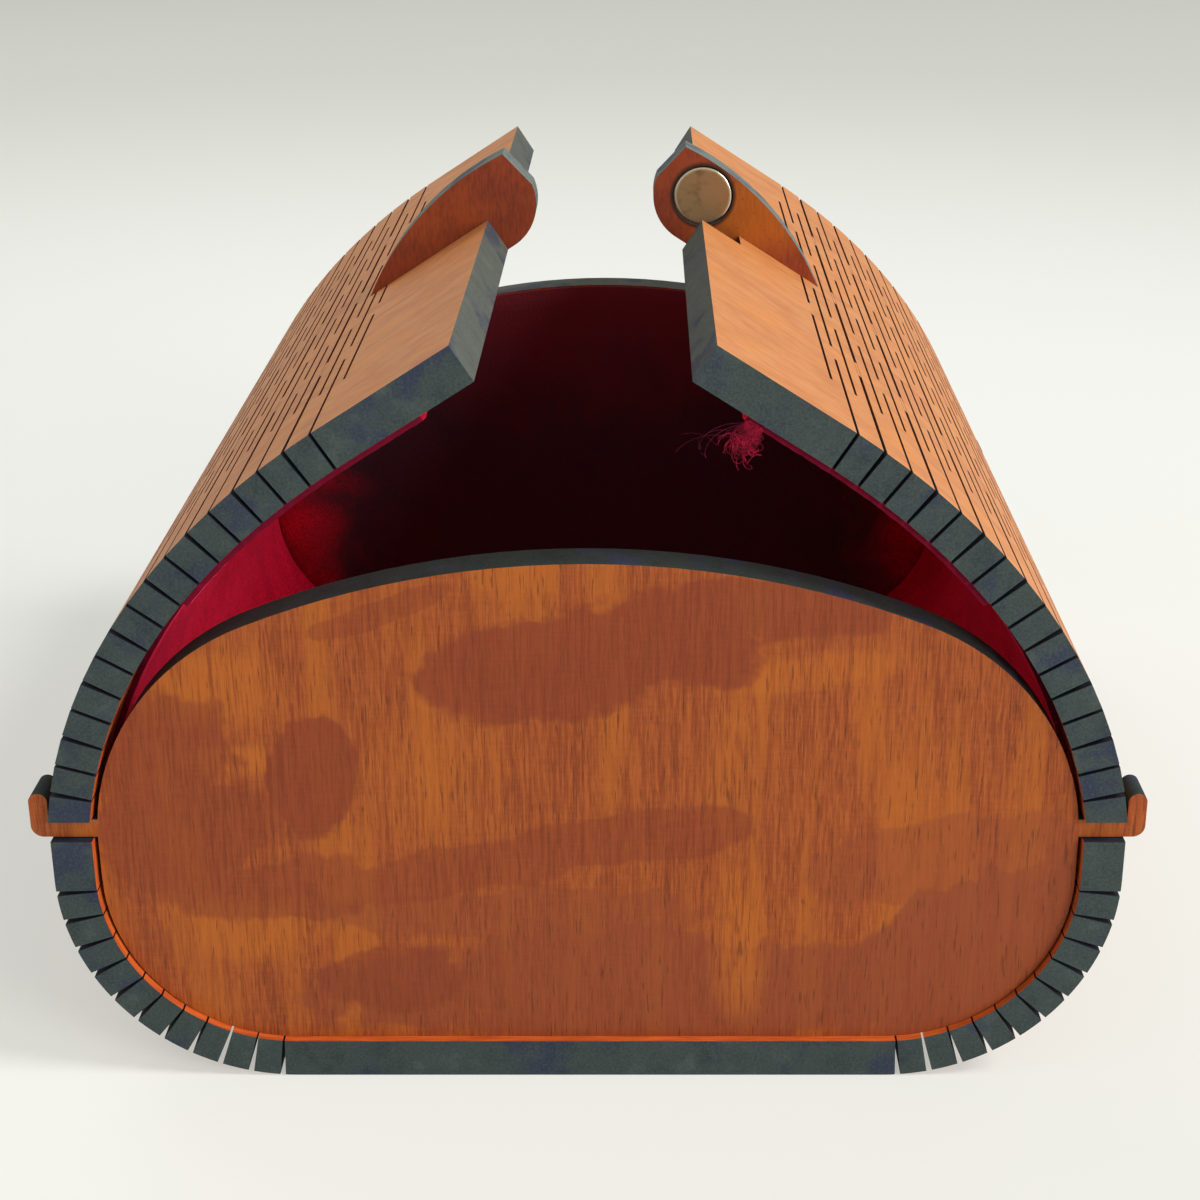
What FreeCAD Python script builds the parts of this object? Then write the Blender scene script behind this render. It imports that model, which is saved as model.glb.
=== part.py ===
import FreeCAD, Part
import math
import os
import re
import Sketcher

from FreeCAD import Placement, Rotation, Vector

os.makedirs("parts", exist_ok=True)
doc = FreeCAD.newDocument("LatticeLidBox")

# The box is one sheet of plywood wrapped round two end panels. Z is up, X runs across the box and Y runs
# along its depth, with the front at -Y. The origin is the middle of the bottom.
# Lengths are millimetres and angles are degrees.
DRIVING = {
    # plywood and cloth
    "ply": 3.0,
    "lining": 0.5,
    "glue": 0.05,
    # the wrap sheet
    "box_depth": 82.0,
    "shell_width": 78.0,
    "wall_rise": 20.0,
    "plate_length": 11.4,
    # the lattice: kerf_pitch lies between two kerfs that reach the edges, with slits halfway between them
    "kerf": 0.25,
    "kerf_pitch": 2.2,
    "bridge": 3.6,
    "dash_rows": 4,
    "corner_kerfs": 11,
    "corner_kerf_inside": 0.06,
    "corner_kerf_outside": 0.5,
    "lid_kerfs": 16,
    # the lid halves at rest
    "lean": 9.5,
    "first_step": 1.85,
    "first_bend": 4.05,
    "last_bend": 1.9,
    "hinge_inset": 0.75,
    # the end panels and their hooks
    "panel_inset": 0.65,
    "panel_height": 38.5,
    "crown_radius": 64.0,
    "shoulder_radius": 18.5,
    "side_gap": 0.3,
    "notch_height": 1.6,
    "neck_gap": 0.1,
    "hook_reach": 1.5,
    "hook_gap": 0.15,
    "hook_rise": 3.5,
    "hook_round": 0.9,
    # the clasp fins and their magnets
    "fin_nose": 4.1,
    "fin_rise": 3.9,
    "fin_tail": 12.0,
    "fin_radius": 23.75,
    "fin_gap": 0.1,
    "slot_play": 0.06,
    "wide_slot": 3.9,
    "head_turn": 10.0,
    "magnet_width": 5.0,
    "magnet_depth": 2.0,
    "magnet_play": 0.06,
    "magnet_lift": 1.2,
    "magnet_out": 0.6,
    # the lining
    "lining_trim": 0.2,
    "lining_edge": 0.3,
    "lining_stop": 4.5,
    "lining_margin": 1.0,
    "panel_clearance": 0.3,
}

# Sizes that follow from the driving ones
WORKED = {
    "inner_half": "shell_width / 2 - ply",
    "bend_line": "wall_rise + notch_height",
    "corner_turn": "90 / corner_kerfs",
    "corner_middle": "kerf_pitch * 180 / (pi * corner_turn)",
    "corner_inside": "corner_middle - ply / 2",
    "corner_outside": "corner_middle + ply / 2",
    "flat_half": "shell_width / 2 - corner_outside",
    "dash": "(box_depth - (dash_rows - 1) * bridge) / dash_rows",
    "row_step": "dash + bridge",
    "panel_half": "inner_half - side_gap",
    "panel_corner": "corner_inside - side_gap",
    "panel_top": "ply + panel_height",
    "crown_centre": "panel_top - crown_radius",
    "shoulder_out": "panel_half - shoulder_radius",
    "shoulder_up": "crown_centre + sqrt((crown_radius - shoulder_radius)^2 - shoulder_out^2)",
    "panel_back": "panel_inset + ply",
    "cloth_top": "glue + lining",
    "cabin_depth": "box_depth - 2 * (panel_back + cloth_top + panel_clearance)",
    "outer_face": "ply - hinge_inset",
    "head_radius": "magnet_lift + ply",
}

SHEET_OF = {}


def sheet_from(label, cells):
    """A spreadsheet with a name and a value in each row, the value under the name's alias."""
    sheet = doc.addObject("Spreadsheet::Sheet", label)
    for row, (name, text) in enumerate(cells.items(), start=1):
        sheet.set(f"A{row}", name)
        sheet.set(f"B{row}", text)
        sheet.setAlias(f"B{row}", name)
        SHEET_OF[name] = label
    doc.recompute()
    return sheet


def bound(formula):
    """The formula with each size's name written out as its cell."""

    def cell(word):
        name = word[0]
        return f"{SHEET_OF[name]}.{name}" if name in SHEET_OF else name

    return re.sub(r"[a-z_]+", cell, str(formula))


sizes = sheet_from("Sizes", {name: str(number) for name, number in DRIVING.items()})
sheet_from("Worked", {name: "=" + bound(formula) for name, formula in WORKED.items()})


def worth(formula):
    """What a formula comes to, as a plain number."""
    result = sizes.evalExpression(bound(formula))
    return float(getattr(result, "Value", result))


def new_body(label, placement=Placement()):
    body = doc.addObject("PartDesign::Body", label)
    body.Label = label
    body.Placement = placement
    return body


def origin_item(body, role):
    return next(item for item in body.Origin.OriginFeatures if item.Role == role)


def sketch_on(body, name, plane, across="0", up="0", out="0", turned="0"):
    """A sketch on one of the body's origin planes, shifted and turned in that plane by formulas."""
    sketch = body.newObject("Sketcher::SketchObject", name)
    sketch.AttachmentSupport = [(origin_item(body, plane), "")]
    sketch.MapMode = "FlatFace"
    for path, formula in (("x", across), ("y", up), ("z", out)):
        if formula != "0":
            sketch.setExpression(f".AttachmentOffset.Base.{path}", bound(formula))
    if turned != "0":
        sketch.setExpression(".AttachmentOffset.Rotation.Angle", bound(turned))
    return sketch


def fix(sketch, kind, places, formula):
    number = sketch.addConstraint(Sketcher.Constraint(kind, *places, worth(formula)))
    sketch.setExpression(f"Constraints[{number}]", bound(formula))


def draw_loop(sketch, corners, arcs=None):
    """A closed outline. Each corner is a pair of formulas. For the edge that starts at a corner, arcs gives
    its centre's two formulas, its radius and whether it runs counter-clockwise."""
    arcs = arcs or {}
    first = len(sketch.Geometry)
    count = len(corners)
    points = [Vector(worth(x), worth(y), 0) for x, y in corners]
    starts = {}
    for n, start in enumerate(points):
        end = points[(n + 1) % count]
        if n not in arcs:
            sketch.addGeometry(Part.LineSegment(start, end))
            starts[n] = (1, 2)
            continue
        centre_x, centre_y, radius, leftward = arcs[n]
        centre = Vector(worth(centre_x), worth(centre_y), 0)
        begin, finish = (start, end) if leftward else (end, start)
        angles = [math.atan2(p.y - centre.y, p.x - centre.x) for p in (begin, finish)]
        circle = Part.Circle(centre, Vector(0, 0, 1), worth(radius))
        sketch.addGeometry(Part.ArcOfCircle(circle, angles[0], angles[1]))
        starts[n] = (1, 2) if leftward else (2, 1)
    for n in range(count):
        after = (n + 1) % count
        sketch.addConstraint(
            Sketcher.Constraint("Coincident", first + n, starts[n][1], first + after, starts[after][0])
        )
    for n, (x, y) in enumerate(corners):
        fix(sketch, "DistanceX", (-1, 1, first + n, starts[n][0]), x)
        fix(sketch, "DistanceY", (-1, 1, first + n, starts[n][0]), y)
    for n, arc in arcs.items():
        chord = points[(n + 1) % count] - points[n]
        if abs(chord.x) < abs(chord.y):
            fix(sketch, "DistanceX", (-1, 1, first + n, 3), arc[0])
        else:
            fix(sketch, "DistanceY", (-1, 1, first + n, 3), arc[1])
    return sketch


def box_corners(left, right, low, high):
    return [(left, low), (right, low), (right, high), (left, high)]


def pad(body, sketch, length, middle=True):
    """Material on both sides of the sketch, or only in front of it."""
    feature = body.newObject("PartDesign::Pad", sketch.Name + "_pad")
    feature.Profile = sketch
    feature.setExpression("Length", bound(length))
    feature.Midplane = middle
    feature.Refine = False
    return feature


def pocket(body, sketch, length, forward=False):
    """A cut that runs from the sketch towards the back, or towards the front."""
    feature = body.newObject("PartDesign::Pocket", sketch.Name + "_pocket")
    feature.Profile = sketch
    feature.setExpression("Length", bound(length))
    feature.Reversed = forward
    feature.Refine = False
    return feature


def repeat(body, feature, steps):
    """Copies of a cut: each step is a row along the depth or a mirror image."""
    group = body.newObject("PartDesign::MultiTransform", feature.Name + "_copies")
    group.Originals = [feature]
    parts = []
    for step in steps:
        if step[0] == "rows":
            item = body.newObject("PartDesign::LinearPattern", group.Name + "_rows")
            item.Direction = (origin_item(body, "Y_Axis"), [""])
            item.setExpression("Length", bound(f"({step[1]} - 1) * row_step"))
            item.setExpression("Occurrences", bound(step[1]))
        else:
            item = body.newObject("PartDesign::Mirrored", group.Name + "_mirror_" + step[1])
            item.MirrorPlane = (origin_item(body, step[1]), [""])
        parts.append(item)
    group.Transformations = parts
    group.Refine = False
    body.Tip = group
    return group


# Outlines of the base shell. s is +1 on the right and -1 on the left.
def lean_point(s, along, outward):
    """A point of the leaning strip above the hooks: along it from its bend, outward from its hinge line."""
    x = f"inner_half + hinge_inset - ({along}) * sin(lean) + ({outward}) * cos(lean)"
    z = f"bend_line + hinge_inset * tan(lean / 2) + ({along}) * cos(lean) + ({outward}) * sin(lean)"
    return (x if s > 0 else f"-({x})", z)


strip_end = "first_step - kerf / 2"


def spoke_corners(angle, near_half, far_half):
    """A cut through a corner, seen from its centre: its direction and its half widths inside and outside."""
    ends = [("corner_inside - 1", f"-{near_half}"), ("corner_outside + 1", f"-{far_half}")]
    ends += [("corner_outside + 1", far_half), ("corner_inside - 1", near_half)]
    return [
        (
            f"({out}) * cos({angle}) - ({side}) * sin({angle})",
            f"({out}) * sin({angle}) + ({side}) * cos({angle})",
        )
        for out, side in ends
    ]


def make_base_shell():
    body = new_body("base_shell")
    outline = sketch_on(body, "shell_outline", "XZ_Plane")
    half = "shell_width / 2"
    outer_bend = "bend_line + ply * tan(lean / 2)"
    corners = [
        ("flat_half", "0"),
        (half, "corner_outside"),
        (half, outer_bend),
        lean_point(1, strip_end, "outer_face"),
        lean_point(1, strip_end, "-hinge_inset"),
        ("inner_half", "bend_line"),
        ("inner_half", "corner_outside"),
        ("flat_half", "ply"),
        ("-flat_half", "ply"),
        ("-inner_half", "corner_outside"),
        ("-inner_half", "bend_line"),
        lean_point(-1, strip_end, "-hinge_inset"),
        lean_point(-1, strip_end, "outer_face"),
        (f"-{half}", outer_bend),
        (f"-{half}", "corner_outside"),
        ("-flat_half", "0"),
    ]
    arcs = {
        0: ("flat_half", "corner_outside", "corner_outside", True),
        6: ("flat_half", "corner_outside", "corner_inside", False),
        8: ("-flat_half", "corner_outside", "corner_inside", False),
        14: ("-flat_half", "corner_outside", "corner_outside", True),
    }
    pad(body, draw_loop(outline, corners, arcs), "box_depth")

    # notches that the hooks' necks pass through, at both edges and on both sides
    notch = sketch_on(body, "neck_notch", "XZ_Plane", out="box_depth / 2")
    draw_loop(notch, box_corners("inner_half - 1", "shell_width / 2 + 1", "wall_rise", "bend_line"))
    cut = pocket(body, notch, "panel_back + neck_gap")
    repeat(body, cut, [("mirror", "YZ_Plane"), ("mirror", "XZ_Plane")])

    # corner kerfs that reach the edges: they are pinched shut inside and stand open outside
    turned = [f"-90 + ({number} + 0.5) * corner_turn" for number in range(DRIVING["corner_kerfs"])]
    kerfs = sketch_on(body, "corner_kerfs", "XZ_Plane", "flat_half", "corner_outside", "box_depth / 2")
    for angle in turned:
        draw_loop(kerfs, spoke_corners(angle, "corner_kerf_inside / 2", "corner_kerf_outside / 2"))
    repeat(body, pocket(body, kerfs, "dash"), [("rows", "dash_rows"), ("mirror", "YZ_Plane")])

    # corner slits between them, one row fewer, which stop short of the edges
    turned = [f"-90 + {number} * corner_turn" for number in range(DRIVING["corner_kerfs"] + 1)]
    out = "box_depth / 2 - row_step / 2"
    slits = sketch_on(body, "corner_slits", "XZ_Plane", "flat_half", "corner_outside", out)
    for angle in turned:
        draw_loop(slits, spoke_corners(angle, "kerf / 2", "kerf / 2"))
    repeat(body, pocket(body, slits, "dash"), [("rows", "dash_rows - 1"), ("mirror", "YZ_Plane")])

    # the last slits, in the strip between the hooks and the lid's first hinge
    middle = lean_point(1, "first_step - kerf_pitch / 2", "0")
    slit = sketch_on(body, "strip_slit", "XZ_Plane", middle[0], middle[1], out, "lean")
    draw_loop(slit, box_corners("-hinge_inset - 1", "outer_face + 1", "-kerf / 2", "kerf / 2"))
    repeat(body, pocket(body, slit, "dash"), [("rows", "dash_rows - 1"), ("mirror", "YZ_Plane")])
    return body


def panel_outline(margin):
    """Corners and arcs of an end panel, drawn in by a margin."""
    half = f"(panel_half - {margin})"
    low = f"(ply + {margin})"
    round_low = f"(panel_corner - {margin})"
    shoulder = f"(shoulder_radius - {margin})"
    crown = f"(crown_radius - {margin})"
    share = f"{crown} / (crown_radius - shoulder_radius)"
    crown_x = f"(shoulder_out * {share})"
    crown_z = f"(crown_centre + (shoulder_up - crown_centre) * {share})"
    centre_x = "(panel_half - panel_corner)"
    centre_z = "(ply + panel_corner)"
    corners = [
        (centre_x, low),
        (half, centre_z),
        (half, "shoulder_up"),
        (crown_x, crown_z),
        (f"-{crown_x}", crown_z),
        (f"-{half}", "shoulder_up"),
        (f"-{half}", centre_z),
        (f"-{centre_x}", low),
    ]
    arcs = {
        0: (centre_x, centre_z, round_low, True),
        2: ("shoulder_out", "shoulder_up", shoulder, True),
        3: ("0", "crown_centre", crown, True),
        4: ("-shoulder_out", "shoulder_up", shoulder, True),
        6: (f"-{centre_x}", centre_z, round_low, True),
    }
    return corners, arcs


def make_panel(label, side):
    """An end panel stands between the walls, and its hooks come out through the notches and turn up."""
    body = new_body(label)
    body.setExpression(".Placement.Base.y", bound(f"{side} * (box_depth / 2 - panel_inset - ply / 2)"))
    corners, arcs = panel_outline("0")
    pad(body, draw_loop(sketch_on(body, label + "_outline", "XZ_Plane"), corners, arcs), "ply")
    hooks = sketch_on(body, label + "_hooks", "XZ_Plane")
    low = "wall_rise + neck_gap"
    neck_top = "bend_line - neck_gap"
    tip = f"({low} + hook_rise)"
    far = "(shell_width / 2 + hook_reach)"
    near = "(shell_width / 2 + hook_gap)"
    tip_round = "((hook_reach - hook_gap) / 2)"
    for sign, right in (("", True), ("-", False)):
        loop = [
            (f"{sign}(panel_half - 1)", low),
            (f"{sign}({far} - hook_round)", low),
            (f"{sign}{far}", f"{low} + hook_round"),
            (f"{sign}{far}", f"{tip} - {tip_round}"),
            (f"{sign}{near}", f"{tip} - {tip_round}"),
            (f"{sign}{near}", neck_top),
            (f"{sign}(panel_half - 1)", neck_top),
        ]
        turns = {
            1: (f"{sign}({far} - hook_round)", f"{low} + hook_round", "hook_round", right),
            3: (f"{sign}({far} - {tip_round})", f"{tip} - {tip_round}", tip_round, right),
        }
        draw_loop(hooks, loop, turns)
    pad(body, hooks, "ply")
    return body


def make_panel_lining(label, side):
    body = new_body(label)
    place = f"{side} * (box_depth / 2 - panel_back - glue - lining / 2)"
    body.setExpression(".Placement.Base.y", bound(place))
    corners, arcs = panel_outline("lining_margin")
    pad(body, draw_loop(sketch_on(body, label + "_outline", "XZ_Plane"), corners, arcs), "lining")
    return body


def make_base_lining():
    """Cloth over the bottom, both lower corners and the walls up to the hooks' necks."""
    body = new_body("base_lining")
    outline = sketch_on(body, "cloth_outline", "XZ_Plane")
    back = "(inner_half - glue)"
    face = "(inner_half - glue - lining)"
    corners = [
        ("flat_half", "ply + glue"),
        (back, "corner_outside"),
        (back, "bend_line"),
        (face, "bend_line"),
        (face, "corner_outside"),
        ("flat_half", "ply + cloth_top"),
        ("-flat_half", "ply + cloth_top"),
        (f"-{face}", "corner_outside"),
        (f"-{face}", "bend_line"),
        (f"-{back}", "bend_line"),
        (f"-{back}", "corner_outside"),
        ("-flat_half", "ply + glue"),
    ]
    arcs = {
        0: ("flat_half", "corner_outside", "corner_inside - glue", True),
        4: ("flat_half", "corner_outside", "corner_inside - cloth_top", False),
        6: ("-flat_half", "corner_outside", "corner_inside - cloth_top", False),
        10: ("-flat_half", "corner_outside", "corner_inside - glue", True),
    }
    pad(body, draw_loop(outline, corners, arcs), "cabin_depth")
    return body


# A lid half is a chain of stiff pieces. Each piece is two straight runs that meet at a kerf: X runs from
# that kerf towards the lid's free edge and Z points out of the box. The hinge line of both runs is the origin.
def kerf_bend(number):
    """The bend at a kerf, which falls evenly from the hooks to the end plate."""
    return f"(first_bend + (last_bend - first_bend) * {number} / (lid_kerfs - 1))"


def bent_corners(back_run, back_tilt, front_run, front_tilt, low, high):
    """Outline of two runs that droop from the middle kerf, between two distances from the hinge line."""

    def back(level):
        return (
            f"-({back_run}) * cos({back_tilt}) - ({level}) * sin({back_tilt})",
            f"-({back_run}) * sin({back_tilt}) + ({level}) * cos({back_tilt})",
        )

    def bend(level):
        return (f"({level}) * tan(({front_tilt} - {back_tilt}) / 2)", f"({level})")

    def front(level):
        return (
            f"({front_run}) * cos({front_tilt}) + ({level}) * sin({front_tilt})",
            f"-({front_run}) * sin({front_tilt}) + ({level}) * cos({front_tilt})",
        )

    return [back(low), bend(low), front(low), front(high), bend(high), back(high)]


def make_lid_wood(label, placement, tilts, front_run):
    """One stiff piece of a lid half, with the kerf in its middle and the slits on both sides of it."""
    body = new_body(label, placement)
    outline = sketch_on(body, label + "_outline", "XZ_Plane")
    run = "kerf_pitch - kerf / 2"
    corners = bent_corners(run, tilts[0], front_run, tilts[1], "-hinge_inset", "outer_face")
    draw_loop(outline, corners)
    pad(body, outline, "box_depth")
    kerf = sketch_on(body, label + "_kerf", "XZ_Plane", out="box_depth / 2")
    draw_loop(kerf, box_corners("-kerf / 2", "kerf / 2", "-ply", "2 * ply"))
    repeat(body, pocket(body, kerf, "dash"), [("rows", "dash_rows")])
    slits = sketch_on(body, label + "_slits", "XZ_Plane", out="box_depth / 2 - row_step / 2")
    for sign in ("-", ""):
        near = f"{sign}kerf_pitch / 2 - kerf / 2"
        far = f"{sign}kerf_pitch / 2 + kerf / 2"
        draw_loop(slits, box_corners(near, far, "-ply", "2 * ply"))
    repeat(body, pocket(body, slits, "dash"), [("rows", "dash_rows - 1")])
    return body


def cut_clasp_slot(body):
    """The slot from the free edge: wide enough for both fins at first, then for this lid's own fin."""
    slot = sketch_on(body, body.Label + "_slot", "XY_Plane")
    own = "(fin_gap + ply + slot_play)"
    wide = "(plate_length - wide_slot)"
    tail = "(plate_length - fin_tail - slot_play)"
    inner = "(fin_gap - slot_play)"
    corners = [
        ("plate_length + 1", f"-{own}"),
        ("plate_length + 1", own),
        (wide, own),
        (wide, f"-{inner}"),
        (tail, f"-{inner}"),
        (tail, f"-{own}"),
    ]
    draw_loop(slot, corners)
    cut = pocket(body, slot, "4 * ply")
    cut.Midplane = True


def make_lid_lining(label, placement, tilts, back_run, front_run, depth):
    body = new_body(label, placement)
    outline = sketch_on(body, label + "_outline", "XZ_Plane")
    low = "-hinge_inset - cloth_top"
    high = "-hinge_inset - glue"
    draw_loop(outline, bent_corners(back_run, tilts[0], front_run, tilts[1], low, high))
    pad(body, outline, depth)
    return body


def make_fin(label, placement):
    """A clasp fin stands in its slot: a long low tail, a peak past the free edge and a round head below."""
    body = new_body(label, placement)
    outline = sketch_on(body, label + "_outline", "XZ_Plane", out="fin_gap")
    free = "plate_length"
    head_x = f"({free} + magnet_out)"
    head_z = "(outer_face + magnet_lift)"
    tail_x = f"({free} - fin_tail)"
    peak = (f"{free} + fin_nose", "outer_face + fin_rise")
    corners = [
        (tail_x, "-hinge_inset"),
        (head_x, "-hinge_inset"),
        (f"{head_x} + head_radius * cos(head_turn)", f"{head_z} - head_radius * sin(head_turn)"),
        peak,
        (tail_x, "outer_face"),
    ]
    # the top's centre lies below the middle of the line from the peak to the tail, square to it
    span = "sqrt((fin_nose + fin_tail)^2 + fin_rise^2)"
    drop = f"sqrt(fin_radius^2 - {span}^2 / 4)"
    top_x = f"({free} + (fin_nose - fin_tail) / 2 + {drop} * fin_rise / {span})"
    top_z = f"(outer_face + fin_rise / 2 - {drop} * (fin_nose + fin_tail) / {span})"
    arcs = {
        1: (head_x, head_z, "head_radius", True),
        3: (top_x, top_z, "fin_radius", True),
    }
    pad(body, draw_loop(outline, corners, arcs), "ply", middle=False)
    seat = sketch_on(body, label + "_seat", "XZ_Plane", out="fin_gap")
    circle_seat(seat, head_x, head_z, "magnet_width / 2 + magnet_play")
    pocket(body, seat, "magnet_depth + magnet_play", forward=True)
    return body


def circle_seat(sketch, x, z, radius):
    """A circle placed and sized by formulas."""
    n = len(sketch.Geometry)
    sketch.addGeometry(Part.Circle(Vector(worth(x), worth(z), 0), Vector(0, 0, 1), worth(radius)))
    fix(sketch, "DistanceX", (-1, 1, n, 3), x)
    fix(sketch, "DistanceY", (-1, 1, n, 3), z)
    number = sketch.addConstraint(Sketcher.Constraint("Radius", n, worth(radius)))
    sketch.setExpression(f"Constraints[{number}]", bound(radius))


def make_magnet(label, placement):
    body = new_body(label, placement)
    disc = sketch_on(body, label + "_disc", "XZ_Plane", out="fin_gap")
    circle_seat(disc, "plate_length + magnet_out", "outer_face + magnet_lift", "magnet_width / 2")
    pad(body, disc, "magnet_depth", middle=False)
    return body


def chain_places():
    """Where each kerf of the right lid half is at rest, and the direction of the run after it."""
    lean = math.radians(worth("lean"))
    x, z = (worth(formula) for formula in lean_point(1, "first_step", "0"))
    places = []
    for number in range(DRIVING["lid_kerfs"]):
        lean += math.radians(worth(kerf_bend(number)))
        places.append((x, z, lean))
        x -= worth("kerf_pitch") * math.sin(lean)
        z += worth("kerf_pitch") * math.cos(lean)
    return places


def lid_placement(x, z, lean, side):
    """A lid piece's place. The left lid half is the right one turned half round the vertical."""
    along = Vector(-math.sin(lean), 0, math.cos(lean))
    outward = Vector(math.cos(lean), 0, math.sin(lean))
    place = Placement(Vector(x, 0, z), Rotation(along, Vector(0, -1, 0), outward, "XZY"))
    if side == "right":
        return place
    return Placement(Vector(), Rotation(Vector(0, 0, 1), 180)).multiply(place)


def make_lid(side):
    places = chain_places()
    pieces = []
    trimmed = "kerf_pitch - kerf / 2 - lining_trim"
    last = DRIVING["lid_kerfs"] - 1
    for middle in range(1, last, 2):
        link = (middle + 1) // 2
        x, z, lean = places[middle]
        place = lid_placement(x, z, (lean + places[middle - 1][2]) / 2, side)
        tilts = [kerf_bend(middle) + " / 2"] * 2
        pieces.append(make_lid_wood(f"{side}_link_{link}", place, tilts, "kerf_pitch - kerf / 2"))
        # the lower strips of cloth stop at the end panels, and the upper ones reach the edges
        depth = "cabin_depth" if link <= 4 else "box_depth - 2 * lining_edge"
        pieces.append(make_lid_lining(f"{side}_link_lining_{link}", place, tilts, trimmed, trimmed, depth))
    place = lid_placement(*places[last], side)
    tilts = [kerf_bend(last), "0"]
    plate = make_lid_wood(f"{side}_end_plate", place, tilts, "plate_length")
    cut_clasp_slot(plate)
    front = "plate_length - lining_stop"
    depth = "box_depth - 2 * lining_edge"
    pieces += [
        plate,
        make_lid_lining(f"{side}_plate_lining", place, tilts, trimmed, front, depth),
        make_fin(f"{side}_clasp_fin", place),
        make_magnet(f"{side}_magnet", place),
    ]
    return pieces


pieces = [
    make_base_shell(),
    make_panel("front_panel", -1),
    make_panel("rear_panel", 1),
    make_base_lining(),
    make_panel_lining("front_lining", -1),
    make_panel_lining("rear_lining", 1),
]
pieces += make_lid("right")
pieces += make_lid("left")

doc.recompute()
for thing in doc.Objects:
    if "Invalid" in thing.State or "Error" in thing.State:
        raise RuntimeError(f"{thing.Label} failed to compute: {thing.State}")
for body in pieces:
    if body.Shape.isNull() or not body.Shape.isValid() or len(body.Shape.Solids) != 1:
        raise RuntimeError(f"{body.Label} is not one valid solid")
for body in pieces:
    body.Shape.exportStep(f"parts/{body.Label}.step")
print(f"{len(pieces)} pieces written")
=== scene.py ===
import math

import bmesh
import bpy
import numpy as np
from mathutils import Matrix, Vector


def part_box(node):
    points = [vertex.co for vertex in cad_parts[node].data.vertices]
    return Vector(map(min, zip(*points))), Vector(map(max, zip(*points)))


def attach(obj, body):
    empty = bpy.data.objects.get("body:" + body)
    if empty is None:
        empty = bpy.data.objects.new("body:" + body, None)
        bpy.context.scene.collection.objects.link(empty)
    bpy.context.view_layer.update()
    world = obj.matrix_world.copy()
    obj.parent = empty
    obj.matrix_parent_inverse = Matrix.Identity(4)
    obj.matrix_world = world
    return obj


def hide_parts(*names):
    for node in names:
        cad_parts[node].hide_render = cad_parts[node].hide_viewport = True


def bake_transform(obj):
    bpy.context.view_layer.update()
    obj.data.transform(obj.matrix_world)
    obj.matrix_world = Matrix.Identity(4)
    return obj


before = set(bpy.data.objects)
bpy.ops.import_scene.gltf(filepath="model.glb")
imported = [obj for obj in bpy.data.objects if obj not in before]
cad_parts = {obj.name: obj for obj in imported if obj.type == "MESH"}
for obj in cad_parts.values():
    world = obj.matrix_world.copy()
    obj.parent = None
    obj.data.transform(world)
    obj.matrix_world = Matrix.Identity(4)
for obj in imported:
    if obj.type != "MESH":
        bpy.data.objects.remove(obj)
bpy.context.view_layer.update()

mm = 0.001
print("frame loaded,", len(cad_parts), "solids")

# The plywood sheet and its lattice, in millimetres and degrees. Z is up, the front is at -Y.
box = {
    "ply": 3.0,
    "halfWidth": 39.0,
    "pitch": 2.2,
    "kerf": 0.25,
    "bridge": 3.6,
    "bridgeRows": (-21.4, 0.0, 21.4),
    "cornerKerfs": 11,
    "bendLine": 21.6,
    "plateLength": 11.4,
}
box["innerHalf"] = box["halfWidth"] - box["ply"]
box["outerCorner"] = box["pitch"] * box["cornerKerfs"] * 2 / math.pi + box["ply"] / 2
box["innerCorner"] = box["outerCorner"] - box["ply"]
box["flatHalf"] = box["halfWidth"] - box["outerCorner"]

# A lid half at rest: its bends fall evenly from the hooks to the end plate.
lid = {
    "kerfs": 16,
    "lean": 9.5,
    "firstStep": 1.85,
    "firstBend": 4.05,
    "lastBend": 1.9,
    "inset": 0.75,  # the hinge line lies this far outside the sheet's inner face
    "joints": 8,
}

sides = {"right": 1, "left": -1}


# a screen colour of 0 to 255, made linear
def paint(red, green, blue):
    part = np.array([red, green, blue]) / 255
    linear = np.where(part <= 0.04045, part / 12.92, ((part + 0.055) / 1.055) ** 2.4)
    return (*[float(level) for level in linear], 1.0)


# a socket that stands in ordinary sums, each of which adds a Math node
class Level:
    def __init__(self, board, socket):
        self.board = board
        self.socket = socket

    def __add__(self, other):
        return self.board.maths("ADD", self, other)

    def __radd__(self, other):
        return self.board.maths("ADD", other, self)

    def __sub__(self, other):
        return self.board.maths("SUBTRACT", self, other)

    def __rsub__(self, other):
        return self.board.maths("SUBTRACT", other, self)

    def __mul__(self, other):
        return self.board.maths("MULTIPLY", self, other)

    def __rmul__(self, other):
        return self.board.maths("MULTIPLY", other, self)

    def __truediv__(self, other):
        return self.board.maths("DIVIDE", self, other)

    def __abs__(self):
        return self.board.maths("ABSOLUTE", self)


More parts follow.
